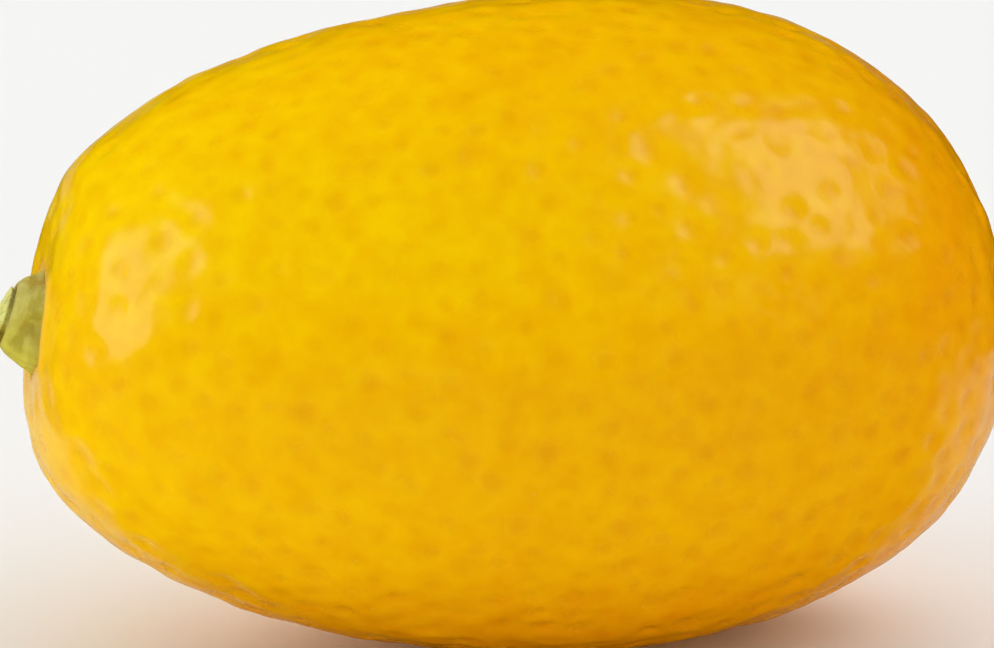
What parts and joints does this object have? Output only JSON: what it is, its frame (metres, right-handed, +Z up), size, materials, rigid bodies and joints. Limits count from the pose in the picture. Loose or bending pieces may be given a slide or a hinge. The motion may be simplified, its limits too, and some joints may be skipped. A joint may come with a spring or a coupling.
{
  "type": "kumquat",
  "caption": "Whole oval kumquat as picked, lying on its side on a small flat spot, with the green lobed calyx and the snapped end of the stalk at its stem end.",
  "frame": {"origin": "on the surface that the fruit rests on, under the middle of the whole, stalk included", "axes": "+X along the fruit from its stem end to its blossom end, +Z up, +Y across it"},
  "size_m": [0.0398, 0.0256, 0.0254],
  "materials": {
    "peel": "waxy, gently pitted citrus peel, yellow at the stem end and more orange at the blossom end",
    "calyx_green": "dull olive green, wrinkled",
    "stalk_wood": "pale broken fibre with a brown rim"
  },
  "bodies": {
    "root": {"fruit": "peel", "calyx": "calyx_green", "stalk": "stalk_wood"}
  },
  "joints": []
}
